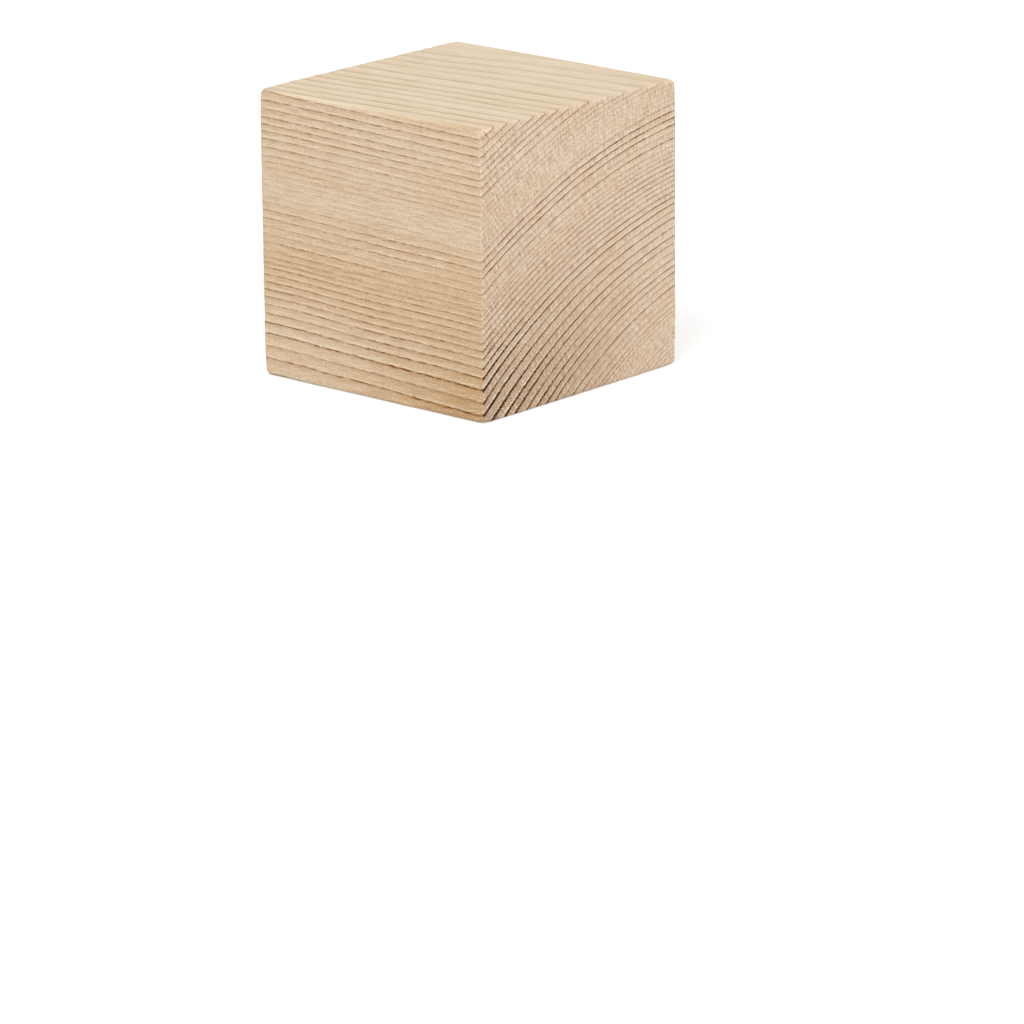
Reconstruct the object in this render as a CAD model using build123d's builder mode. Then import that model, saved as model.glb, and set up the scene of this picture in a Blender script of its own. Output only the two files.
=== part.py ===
from build123d import *

import os

# Wooden cube: a block sawn from a planed square stick of plain softwood.
#
# The stick's top and base are planed, its two sides are left as they were
# resawn, and its long edges are eased. The two end faces are crosscut with a
# fine saw and their rims are only just broken, so they stay crisper than the
# long edges. It is one piece of solid wood.
#
# Frame: millimetres, +Z up, +X along the grain, and the origin at the middle
# of the face that the cube rests on.

# Driving dimensions, each of which can be changed by itself.
cut_length = 50.0         # along the grain (X), from crosscut to crosscut
stick_width = 50.0        # across the stick (Y)
stick_thickness = 50.0    # height of the stick as it lies (Z)
long_edge_radius = 0.7    # the four eased edges that run with the grain
cut_rim_radius = 0.3      # the rims of the two crosscut end faces

# The stick's section stands upright where the first crosscut falls, half the
# cut length behind the origin, with its lower side on the ground.
first_crosscut = Plane(
    origin=(-cut_length / 2, 0, stick_thickness / 2), x_dir=(0, 1, 0), z_dir=(1, 0, 0)
)

with BuildPart() as wooden_cube:
    with BuildSketch(first_crosscut):
        Rectangle(stick_width, stick_thickness)
    extrude(amount=cut_length)

    # The long edges are eased along the whole stick before it is cut up.
    long_edges = wooden_cube.edges().filter_by(Axis.X)
    fillet(long_edges, radius=long_edge_radius)

    # The saw leaves two flat end faces, and their rims are broken all round.
    end_faces = wooden_cube.faces().filter_by(Axis.X)
    fillet(end_faces.edges(), radius=cut_rim_radius)

wooden_cube.part.label = "wooden_cube"

os.makedirs("parts", exist_ok=True)
export_step(wooden_cube.part, "parts/wooden_cube.step")
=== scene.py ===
import math

import bpy
import numpy as np
from mathutils import Matrix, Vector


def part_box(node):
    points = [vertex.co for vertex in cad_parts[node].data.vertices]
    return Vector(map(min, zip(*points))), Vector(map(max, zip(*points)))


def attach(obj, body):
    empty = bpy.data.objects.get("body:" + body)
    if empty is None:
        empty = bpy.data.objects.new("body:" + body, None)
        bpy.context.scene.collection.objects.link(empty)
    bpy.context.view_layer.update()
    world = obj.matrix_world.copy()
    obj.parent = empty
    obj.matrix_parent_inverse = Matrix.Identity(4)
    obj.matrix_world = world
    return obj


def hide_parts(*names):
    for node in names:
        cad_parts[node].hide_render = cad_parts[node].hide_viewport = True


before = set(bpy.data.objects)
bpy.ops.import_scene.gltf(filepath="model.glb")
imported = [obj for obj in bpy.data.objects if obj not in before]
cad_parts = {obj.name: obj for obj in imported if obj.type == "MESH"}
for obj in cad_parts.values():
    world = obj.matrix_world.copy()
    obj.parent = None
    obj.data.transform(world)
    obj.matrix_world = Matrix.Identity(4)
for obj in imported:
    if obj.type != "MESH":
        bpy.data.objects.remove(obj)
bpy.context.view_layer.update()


# ---------------------------------------------------------------- the sawn cube
# One block of slow-grown softwood, crosscut from a square stick and left bare. Its top
# and base are planed and its sides resawn, and the crosscut saw leaves the ends uneven
# and tears small nicks in their rims. The edges are eased by hand, the corners worn.

mm = 0.001
low, high = (np.array(corner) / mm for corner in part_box("wooden_cube"))

# The tree it comes from. Each year adds one ring: pale early wood that darkens outwards
# into a thin line of late wood and stops short there. The block lies well out from the
# heart of the trunk, and each of its faces is a cut through the same rings.
heart = (39.9, -80.6)         # where the heart passes the front end's plane: Y and Z, in mm
heart_lean = (0.009, -0.022)  # how far the heart moves sideways for each mm along the grain
middle_ring = 110.0           # mm from the heart, which turns an angle round it into a length
first_ring = 69.4             # mm from the heart to the first ring

slow_wave, quick_wave = 0.16, 0.04   # mm that a ring wanders in and out

# Close to the heart the young tree's rings tilt, more and more towards the right side.
tilt_start = 118.0                # mm from the heart, where the tilt sets in
tilt_depth = 33.0                 # mm further in, where it has the slope given here
tilt_turn = math.radians(20.69)   # how far the way that they tilt is turned up from +Y
tilt_pivot = -10.815              # Y in mm of the place on the base where the tilt is nil
tilt_slope, tilt_bow = 0.245, 0.00099   # mm of tilt for each mm that way, and for its square

# Runs of like years, from the heart outwards: how many, the width of each ring in mm,
# how dark its late wood is, and how warm the wood of that run is beside the rest.
growth = [
    (8, 1.10, 0.27, 0.3),
    (2, 1.15, 0.12, 0.2),
    (2, 1.40, 0.22, 0.1),
    (2, 1.00, 0.35, 0.1),
    (2, 1.50, 0.28, 0.2),
    (1, 1.60, 0.80, 0.3),
    (1, 1.65, 0.18, 0.3),
    (2, 1.50, 0.52, 0.3),
    (1, 1.65, 0.60, 0.3),
    (1, 1.70, 0.32, 0.3),
    (1, 1.90, 0.72, 0.4),
    (1, 1.60, 0.85, 0.4),
    (1, 2.05, 0.70, 0.3),
    (1, 2.05, 1.05, 0.3),
    (1, 1.55, 0.30, 0.1),
    (1, 1.60, 1.15, 0.0),
    (1, 1.45, 0.80, 0.0),
    (2, 1.25, 0.45, 0.2),
    (5, 1.05, 0.38, 0.8),
    (2, 0.75, 0.18, 1.0),
    (1, 0.95, 0.20, 1.0),
    (1, 1.30, 0.45, 0.9),
    (1, 1.15, 0.12, 0.7),
    (3, 1.20, 0.72, 0.6),
    (1, 1.20, 0.28, 0.4),
    (4, 0.90, 0.08, 0.0),
    (4, 0.88, 0.18, 0.1),
    (2, 1.30, 0.40, 0.2),
    (3, 1.10, 0.42, 0.2),
    (5, 1.35, 0.48, 0.2),
]


def lumps(places, size, seed):
    """Smooth random heights from -1 to 1: each corner of a grid of boxes of this size
    holds a random number, and a point blends its box's eight corners by a smooth step."""
    at = places / np.asarray(size, float)
    box = np.floor(at).astype(int)
    part = at - box
    part = part * part * (3 - 2 * part)
    heights = np.random.default_rng(seed).uniform(-1, 1, 65536)
    total = np.zeros(len(places))
    for corner in np.ndindex(2, 2, 2):
        number = (box + corner) @ (1, 257, 40503) % len(heights)
        total += heights[number] * np.prod(np.where(corner, part, 1 - part), axis=1)
    return total


def heart_distance(places):
    """Distance from the heart's leaning line in mm, less a tilt that grows inwards and
    towards the right, plus a slow waviness. Also gives the way round the heart as a
    length, for the rays that cross the rings."""
    x, y, z = places.T
    away_y = y - heart[0] - heart_lean[0] * (x - high[0])
    away_z = z - heart[1] - heart_lean[1] * (x - high[0])
    straight = np.hypot(away_y, away_z)
    inwards = np.clip((tilt_start - straight) / tilt_depth, 0, None)
    rightwards = math.cos(tilt_turn) * (y - tilt_pivot) + math.sin(tilt_turn) * z
    tilt = tilt_slope * inwards**1.5 * rightwards + tilt_bow * inwards * rightwards**2
    waves = slow_wave * lumps(places, (17, 13, 13), 3) + quick_wave * lumps(places, (5, 3, 3), 4)
    return straight - tilt + waves, np.arctan2(away_y, away_z) * middle_ring


def year_rings():
    """Each year's outer edge in mm from the heart, its width, and its darkness and warmth,
    from the runs of growth, with each ring a little off what its run says."""
    rng = np.random.default_rng(11)
    years, width, dark, warm = (np.array(column) for column in zip(*growth))
    width, dark, warm = (np.repeat(column, years) for column in (width, dark, warm))
    width = width * rng.uniform(0.98, 1.02, len(width))
    dark = dark * rng.uniform(0.85, 1.15, len(dark))
    return first_ring + np.cumsum(width), width, dark, warm


# The block, as a grid of points on its surface.
middle, half = (low + high) / 2, (high - low) / 2
grid_cells = (78, 157, 157)     # along the grain, across it, and up
crowding = (0.75, 0.45, 0.45)   # how far the grid lines crowd towards the edges

# The easing of the edges, in mm.
long_edge_radius = 0.70         # the edges that run with the grain
cut_rim_radius = 0.30           # the rims of the end faces
rim_reach = 4.0                 # how far from an end the one turns into the other
worn_corner = 0.80              # how much rounder a corner is than its edges
worn_reach = 2.0                # how far along the edges that is felt

# The relief of the faces, in mm.
torn_depth = 0.121              # the deepest nick torn in a rim
ragged_depth = 0.07             # the mean depth of a rim's fine raggedness
hollow_depth = 0.04             # the mean dip of a face
saw_axle = (-90, -60)           # the crosscut saw's axle, from the middle of the end face
saw_mark_spacing = 1.3          # how far apart the marks are that it leaves
saw_mark_depth = 0.012          # their mean depth
resawn_early_depth = 0.035      # how much lower early wood lies on a resawn side
planed_early_depth = 0.015      # and on a planed face


def grid_lines(cells, crowd):
    """Places from -1 to 1: an even count blended with its own sine, which brings the
    lines closer together towards both ends."""
    even = np.linspace(-1, 1, cells + 1)
    return (1 - crowd) * even + crowd * np.sin(even * math.pi / 2)


def block_surface(cells):
    """The surface of a block of lattice points: each point's three counts, and four
    point numbers for each face, anticlockwise from outside, one side after another."""
    counts = np.indices(np.add(cells, 1))
    outside = ((counts == 0) | (counts == np.reshape(cells, (3, 1, 1, 1)))).any(0)
    number = np.full(outside.shape, -1)
    number[outside] = np.arange(outside.sum())
    faces = []
    for axis in range(3):
        for end in (0, -1):
            side = np.take(number, end, axis=axis)
            loop = side[:-1, :-1], side[1:, :-1], side[1:, 1:], side[:-1, 1:]
            if (end == 0) != (axis == 1):
                loop = loop[::-1]
            faces.append(np.stack(loop, -1).reshape(-1, 4))
    return counts[:, outside].T, faces


def smooth_step(value, start, end):
    """0 before start, 1 after end, and an S-shaped rise between them."""
    part = np.clip((value - start) / (end - start), 0, 1)
    return part * part * (3 - 2 * part)


def nearness(distance, reach):
    """1 at no distance, falling along a bell curve to 0.37 at this reach."""
    return np.exp(-((distance / reach) ** 2))


counts, sides = block_surface(grid_cells)
plain = np.stack(
    [
        half[axis] * grid_lines(grid_cells[axis], crowding[axis])[counts[:, axis]]
        for axis in range(3)
    ],
    axis=1,
)
inset = half - np.abs(plain)            # how far in from each pair of faces
from_end = inset[:, 0]
from_side = inset[:, 1:].min(1)
from_edge = np.sort(inset, axis=1)[:, 1]
from_corner = inset.sum(1)

# Easing: a sphere of the edge's radius rolls inside the plain block.
radius = cut_rim_radius + (long_edge_radius - cut_rim_radius) * smooth_step(from_end, 0, rim_reach)
radius = radius * (1 + 0.30 * lumps(plain, (7, 7, 7), 21) + 0.15 * lumps(plain, (2, 2, 2), 22))
radius = (radius + worn_corner * np.exp(-from_corner / worn_reach))[:, None]
core = np.clip(plain, radius - half, half - radius)
outward = plain - core
outward /= np.linalg.norm(outward, axis=1, keepdims=True)
eased = core + radius * outward + middle

end_grain = smooth_step(np.abs(outward[:, 0]), 0.45, 0.85)
planed = smooth_step(np.abs(outward[:, 2]), 0.6, 0.8)

# The rings that each point of the surface is cut through.
ring_edge, ring_width, ring_dark, ring_warm = year_rings()
distance, around = heart_distance(eased)
age = np.interp(distance, ring_edge, np.arange(len(ring_edge)))
ring_line = np.interp(distance, ring_edge, ring_dark)

from_left = eased[:, 1] - low[1]
from_base = eased[:, 2] - low[2]
towards_front = 1 - smooth_step(high[0] - eased[:, 0], -2, 39)


def patch(across, up, width, height):
    """A soft patch at the front end: 1 at this place in mm from the left side and up from
    the base, falling along bell curves of this width and height, and dying out rearwards."""
    return towards_front * nearness(from_left - across, width) * nearness(from_base - up, height)


# Late wood is darkest low on the front corner, and the same patch also lays painted shade
# there. Along the sides the saw brings up the weak lines, and in the middle of their height
# its fuzz hides half of them.
low_front_lines_and_shade = patch(0, 0, 22, 12)
fuzz = nearness(from_base - 31, 8)
low_down = nearness(from_base, 16)
side_line = 0.95 * ring_line**0.6 * (1 - 0.5 * fuzz + 0.10 * low_down)
end_line = ring_line * (1.05 + 1.7 * low_front_lines_and_shade)
late_dark = side_line + (end_line - side_line) * end_grain

# The front end is darker low in its middle, as painted shade, and in a weaker patch higher
# up along its left edge.
end_darkening = patch(21, 6, 17, 18) + 0.40 * patch(0, 31, 11, 11)

# Relief, in mm inwards: nicks torn along the rims, soft early wood worn lower than the
# late wood, a slight hollow in each face, and the wander of the saw on the ends.
rim = nearness(from_end, 0.9) * nearness(from_side, 0.35)
torn = torn_depth * np.clip((lumps(plain, (2.5, 0.8, 0.8), 31) - 0.45) / 0.55, 0, 1)
ragged = ragged_depth * (1 + lumps(plain, (1.2, 0.40, 0.40), 32))
hollow = hollow_depth * (1 + lumps(plain, (16, 16, 16), 33))
from_axle = np.hypot(plain[:, 1] - saw_axle[0], plain[:, 2] - saw_axle[1])
saw_marks = saw_mark_depth * (1 + np.sin(2 * math.pi * from_axle / saw_mark_spacing))
early = 0.5 - 0.5 * np.cos(2 * math.pi * np.minimum(age % 1 * 1.15, 1))   # 1 in mid early wood
early_depth = resawn_early_depth + (planed_early_depth - resawn_early_depth) * planed
early_worn = early * early_depth * np.clip(late_dark * 2, 0, 1)
flat = smooth_step(from_edge, 0, 2)
relief = rim * (torn + ragged) + flat * (
    hollow + end_grain * saw_marks + (1 - end_grain) * early_worn
)
surface = eased - relief[:, None] * outward

mesh = bpy.data.meshes.new("sawn_cube")
mesh.from_pydata(surface * mm, [], np.concatenate(sides))
mesh.shade_smooth()

for name, values in {
    "age": age,
    "ring_width": np.interp(distance, ring_edge, ring_width),
    "late_dark": late_dark,
    "warmth": np.interp(distance, ring_edge, ring_warm),
    "low_front_lines_and_shade": low_front_lines_and_shade,
    "end_darkening": end_darkening,
    "heart_distance": distance,
    "around": around,
    "end_grain": end_grain,
    "planed": planed,
}.items():
    mesh.attributes.new(name, "FLOAT", "POINT").data.foreach_set("value", values)

# The map: both end faces get half its width, and the four long faces a quarter each,
# squeezed along the grain, where the wood changes least. Each row has the two axes that
# a face is laid out by, its corner on the map, and its size there.
map_gap = 0.002
map_rows = [
    ((1, 2), (0.00, 0.5), (0.50, 0.5)),
    ((1, 2), (0.50, 0.5), (0.50, 0.5)),
    ((0, 2), (0.00, 0.0), (0.25, 0.5)),
    ((0, 2), (0.25, 0.0), (0.25, 0.5)),
    ((0, 1), (0.50, 0.0), (0.25, 0.5)),
    ((0, 1), (0.75, 0.0), (0.25, 0.5)),
]
share = plain / half / 2 + 0.5
map_places = np.concatenate(
    [
        np.add(corner, map_gap) + share[side.ravel()][:, axes] * np.subtract(size, 2 * map_gap)
        for side, (axes, corner, size) in zip(sides, map_rows)
    ]
)
mesh.uv_layers.new(name="OFBake").data.foreach_set("uv", map_places.ravel())

cube = bpy.data.objects.new("sawn_cube", mesh)
bpy.context.scene.collection.objects.link(cube)
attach(cube, "root")
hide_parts("wooden_cube")

# The finish: bare wood, with no oil or varnish. End grain is pinkish and speckled with
# open cell ends, with the darkest lines of late wood; the resawn sides are warm and
# fibrous; the planed top and base are palest and smoothest, with soft grey-brown lines.
wood = bpy.data.materials.new("bare_softwood")
wood.use_nodes = True
tree = wood.node_tree   # the tree in hand, which node() adds to
cube.data.materials.append(wood)


def node(kind, inputs, output=0, **settings):
    """Adds a node to the tree in hand, gives each input, by its name or number, a plain
    value or another node's output, and returns one of its outputs."""
    made = tree.nodes.new("ShaderNode" + kind)
    for name, value in settings.items():
        setattr(made, name, value)
    for name, value in inputs.items():
        if isinstance(value, bpy.types.NodeSocket):
            tree.links.new(value, made.inputs[name])
        else:
            made.inputs[name].default_value = value
    return made.outputs[output]


def calc(operation, first, second=0.0, third=0.0):
    """One step of arithmetic."""
    return node("Math", {0: first, 1: second, 2: third}, operation=operation)


def field(name):
    """One of the numbers that the mesh holds at each point."""
    return node("Attribute", {}, output="Fac", attribute_name=name)


def fade(value, start, end, first=0.0, last=1.0):
    """A smooth change from first to last as value goes from start to end."""
    return node(
        "MapRange",
        {"Value": value, "From Min": start, "From Max": end, "To Min": first, "To Max": last},
        interpolation_type="SMOOTHSTEP",
    )


def blend(share, first, second):
    """Two colours mixed: first where share is 0, second where it is 1."""
    return node("Mix", {"Factor": share, 6: first, 7: second}, output=2, data_type="RGBA")


def between(share, first, second):
    """Two numbers mixed: first where share is 0, second where it is 1."""
    return node("Mix", {"Factor": share, 2: first, 3: second}, output=0, data_type="FLOAT")


def grain_noise(along, across, detail=2.0, seed=0.0):
    """Noise from 0 to 1 whose blobs are this long with the grain and this wide, in mm."""
    stretched = node(
        "Mapping",
        {
            "Vector": node("TexCoord", {}, output="Object"),
            "Location": (seed, seed, seed),
            "Scale": (1 / (along * mm), 1 / (across * mm), 1 / (across * mm)),
        },
    )
    return node("TexNoise", {"Vector": stretched, "Scale": 1.0, "Detail": detail})


def colour(red, green, blue):
    """A colour written as screen values from 0 to 255, as the light that it reflects."""
    screen = np.array([red, green, blue]) / 255
    linear = np.where(screen > 0.04045, ((screen + 0.055) / 1.055) ** 2.4, screen / 12.92)
    return (*linear, 1.0)


end_grain_at, planed_at = field("end_grain"), field("planed")


def by_face(end, resawn, planed):
    """A number for each kind of face, mixed where they meet at an edge."""
    return between(end_grain_at, between(planed_at, resawn, planed), end)


def colour_by_face(end, resawn, planed):
    """A colour for each kind of face, mixed where they meet at an edge."""
    return blend(end_grain_at, blend(planed_at, resawn, planed), end)


def light_or_dark(noise, spread=0.2):
    """Noise stretched to run from -1, dark, to 1, light."""
    return fade(noise, 0.5 - spread, 0.5 + spread, -1.0, 1.0)


def times(first, second):
    """One number multiplied by another."""
    return calc("MULTIPLY", first, second)


def add_share(total, value, amount):
    """The total with this amount of the value added."""
    return calc("MULTIPLY_ADD", value, amount, total)


# The winter line: how far it is, in mm, to the sharp outer edge of this year's ring.
# It is wider low on the front corner, and breaks up where the fibres are torn.
low_front_lines_and_shade_at = field("low_front_lines_and_shade")
wander = light_or_dark(grain_noise(2.2, 0.30, seed=3.1))
this_year = calc("FRACT", add_share(field("age"), wander, by_face(0.035, 0.030, 0.010)))
to_winter = times(calc("SUBTRACT", 1.0, this_year), field("ring_width"))
after_winter = times(this_year, field("ring_width"))
patchy = fade(grain_noise(10.0, 3.0, seed=5.7), 0.3, 0.7, 0.65, 1.25)
broken = fade(grain_noise(1.6, 0.30, seed=7.3), 0.38, 0.58, by_face(0.35, 0.40, 0.85), 1.20)
dark = times(times(field("late_dark"), patchy), broken)
line_start = add_share(by_face(0.12, 0.06, 0.02), low_front_lines_and_shade_at, by_face(0.22, 0.06, 0.0))
line_end = add_share(by_face(0.36, 0.34, 0.48), low_front_lines_and_shade_at, by_face(0.28, 0.06, 0.0))
winter_line = fade(to_winter, line_start, line_end, 1.0, 0.0)
late_wood = times(fade(to_winter, 0.0, by_face(0.9, 1.1, 1.3), 1.0, 0.0), dark)
spring_wood = times(fade(after_winter, 0.1, 0.5, 1.0, 0.0), dark)

# Rays cross the rings from the heart outwards, and show on the end grain only.
ray_width, ray_length = 0.26, 2.6   # mm
ray_place = node(
    "CombineXYZ",
    {
        0: calc("DIVIDE", field("around"), ray_width),
        1: calc("DIVIDE", field("heart_distance"), ray_length),
    },
)
rays = light_or_dark(node("TexNoise", {"Vector": ray_place, "Scale": 1.0, "Detail": 1.0}))

# Colour of the clean wood on each kind of face, then darker patches on the front end and
# painted shade low on the front corner.
broad = fade(grain_noise(30.0, 7.0, seed=1.3), 0.3, 0.7)
warm = add_share(times(broad, 0.3), field("warmth"), 0.70)
clean = colour_by_face(
    blend(broad, colour(238, 213, 189), colour(235, 208, 180)),
    blend(warm, colour(229, 207, 179), colour(221, 188, 149)),
    blend(broad, colour(228, 210, 185), colour(225, 205, 176)),
)
# Painted shade low in the middle of the front end, and a weaker darkening by its left edge.
end_darkening_share = times(field("end_darkening"), by_face(0.48, 0.0, 0.0))
clean = blend(end_darkening_share, clean, colour(182, 148, 114))
# Painted shade: the wood turns brown low on the front corner, on the end and the resawn side.
painted_shade_colour = blend(end_grain_at, colour(198, 158, 108), colour(172, 136, 102))
clean = blend(times(low_front_lines_and_shade_at, by_face(0.75, 0.90, 0.0)), clean, painted_shade_colour)

# Specks, fibres and open cell ends: cream where they are light, brown where dark.
speck = light_or_dark(grain_noise(0.50, 0.16, detail=1.0, seed=9.9), 0.13)
coarse_speck = light_or_dark(grain_noise(3.2, 0.95, detail=1.0, seed=12.4))
fibres = light_or_dark(grain_noise(4.5, 0.15, detail=1.0, seed=18.2), 0.15)
pits = fade(grain_noise(0.9, 0.24, detail=1.0, seed=15.8), 0.66, 0.76)
grain = times(speck, by_face(0.44, 0.16, 0.03))
grain = add_share(grain, coarse_speck, by_face(0.02, 0.03, 0.04))
grain = add_share(grain, fibres, by_face(0.0, 0.17, 0.10))
grain = add_share(grain, rays, by_face(0.26, 0.0, 0.0))
grain = add_share(grain, spring_wood, by_face(0.35, 0.34, 0.05))
grain = add_share(grain, pits, by_face(-0.40, -0.30, 0.0))
specked = blend(grain, clean, colour(255, 243, 218))
specked = blend(times(grain, -1.0), specked, colour(160, 118, 80))

# The late wood over it: a soft tan run-up, then the thin line, darkest where strong.
tan = colour_by_face(colour(190, 140, 96), colour(198, 152, 98), colour(202, 173, 128))
run_up = blend(times(late_wood, by_face(0.35, 0.56, 0.38)), specked, tan)
line = colour_by_face(colour(122, 74, 34), colour(138, 90, 36), colour(158, 130, 90))
strong = times(fade(dark, 0.5, 1.5), by_face(1.0, 0.15, 0.0))
line = blend(strong, line, colour(58, 30, 6))
line_share = times(times(winter_line, dark), by_face(1.40, 0.95, 0.72))
wood_colour = blend(line_share, run_up, line)

# Relief too fine for the mesh, as a height in mm.
height = times(speck, by_face(0.018, 0.018, 0.002))
height = add_share(height, coarse_speck, by_face(0.010, 0.014, 0.002))
height = add_share(height, pits, by_face(-0.04, -0.04, 0.0))
height = add_share(height, winter_line, by_face(0.0, 0.015, 0.006))
height = add_share(height, rays, by_face(0.006, 0.0, 0.0))
bumped = node("Bump", {"Height": height, "Strength": 1.0, "Distance": mm})

# Planed faces are the smoothest, and the dense late wood is smoother than the rest.
rough = add_share(by_face(0.85, 0.80, 0.64), winter_line, -0.10)

skin = tree.nodes["Principled BSDF"]
skin.inputs["Specular IOR Level"].default_value = 0.18
tree.links.new(wood_colour, skin.inputs["Base Color"])
tree.links.new(rough, skin.inputs["Roughness"])
tree.links.new(bumped, skin.inputs["Normal"])


# ---------------------------------------------------------------- the floor and the air
# A plain white floor that the cube stands on, and a white room all round. To the
# camera the floor is lifted to white, and it keeps the soft shadow under the cube.

floor_width = 8.0
floor_grey = 0.72      # the share of light that the floor gives back
floor_lift = 0.45      # how much it is lifted for the camera
room_light = 0.61      # the room's light on the cube; to the eye and in gloss it is 1, white

edge = floor_width / 2
floor_mesh = bpy.data.meshes.new("floor")
floor_mesh.from_pydata(
    [(-edge, -edge, 0), (edge, -edge, 0), (edge, edge, 0), (-edge, edge, 0)], [], [(0, 1, 2, 3)]
)
floor = bpy.data.objects.new("floor", floor_mesh)
bpy.context.scene.collection.objects.link(floor)

paint = bpy.data.materials.new("white_floor")
paint.use_nodes = True
tree = paint.node_tree
floor_mesh.materials.append(paint)
coat = tree.nodes["Principled BSDF"]
coat.inputs["Base Color"].default_value = (floor_grey, floor_grey, floor_grey, 1.0)
coat.inputs["Roughness"].default_value = 0.9
coat.inputs["Specular IOR Level"].default_value = 0.1
glow_strength = times(node("LightPath", {}, output="Is Camera Ray"), floor_lift)
glow = node("Emission", {"Color": (1.0, 1.0, 1.0, 1.0), "Strength": glow_strength})
lifted = node("AddShader", {0: coat.outputs[0], 1: glow})
tree.links.new(lifted, tree.nodes["Material Output"].inputs["Surface"])

world = bpy.data.worlds.new("white_room")
bpy.context.scene.world = world
world.use_nodes = True
tree = world.node_tree
path = tree.nodes.new("ShaderNodeLightPath")
seen = calc("MAXIMUM", path.outputs["Is Camera Ray"], path.outputs["Is Glossy Ray"])
seen = calc("MAXIMUM", seen, path.outputs["Is Transmission Ray"])
room = tree.nodes["Background"]
room.inputs["Color"].default_value = (1.0, 1.0, 1.0, 1.0)
tree.links.new(between(seen, room_light, 1.0), room.inputs["Strength"])


# ---------------------------------------------------------------- the studio lamps
# One broad soft lamp above and to the left of the camera, and a weaker one on the
# right, so that the top is the lightest face and the two upright ones are near alike.

cube_middle = middle * mm


def towards(turn, lift):
    """The way from the cube to something at this bearing, from -Y round to +X, and this
    height above level, both in radians."""
    return np.array(
        [math.sin(turn) * math.cos(lift), -math.cos(turn) * math.cos(lift), math.sin(lift)]
    )


def soft_lamp(name, turn, lift, away, width, power):
    """A square lamp that faces the cube from this bearing and height in degrees, this far
    away and this wide in metres."""
    turn, lift = math.radians(turn), math.radians(lift)
    lamp = bpy.data.lights.new(name, "AREA")
    lamp.shape, lamp.size, lamp.energy = "SQUARE", width, power
    holder = bpy.data.objects.new(name, lamp)
    holder.location = cube_middle + away * towards(turn, lift)
    holder.rotation_euler = (math.pi / 2 - lift, 0, turn)
    bpy.context.scene.collection.objects.link(holder)


soft_lamp("key_lamp", turn=15, lift=50, away=1.2, width=0.7, power=6.5)
soft_lamp("fill_lamp", turn=85, lift=25, away=1.4, width=0.9, power=5.35)


# ---------------------------------------------------------------- the camera
# A long lens, about a metre away and looking a little down on the cube's front edge.
# The cube stands in the upper part of the picture.

camera_turn, camera_lift = math.radians(41.39), math.radians(16.73)
camera_roll = math.radians(-0.50)
cube_edge = (high[0] - low[0]) * mm
camera_away = 19.65 * cube_edge
aim_right, aim_down = 0.145 * cube_edge, 0.970 * cube_edge   # from the cube's middle
sensor_width, lens_length = 36.0, 202.788   # mm

back = towards(camera_turn, camera_lift)
level_right = np.array([math.cos(camera_turn), math.sin(camera_turn), 0.0])
level_up = np.cross(back, level_right)
right = math.cos(camera_roll) * level_right + math.sin(camera_roll) * level_up
up_picture = np.cross(back, right)
place = cube_middle + aim_right * right - aim_down * up_picture + camera_away * back

lens = bpy.data.cameras.new("camera")
lens.sensor_width = sensor_width
lens.lens = lens_length
camera = bpy.data.objects.new("camera", lens)
stance = np.eye(4)
stance[:3] = np.stack([right, up_picture, back, place], axis=1)
camera.matrix_world = Matrix(stance.tolist())
bpy.context.scene.collection.objects.link(camera)
bpy.context.scene.camera = camera
bpy.context.scene.view_settings.view_transform = "Standard"
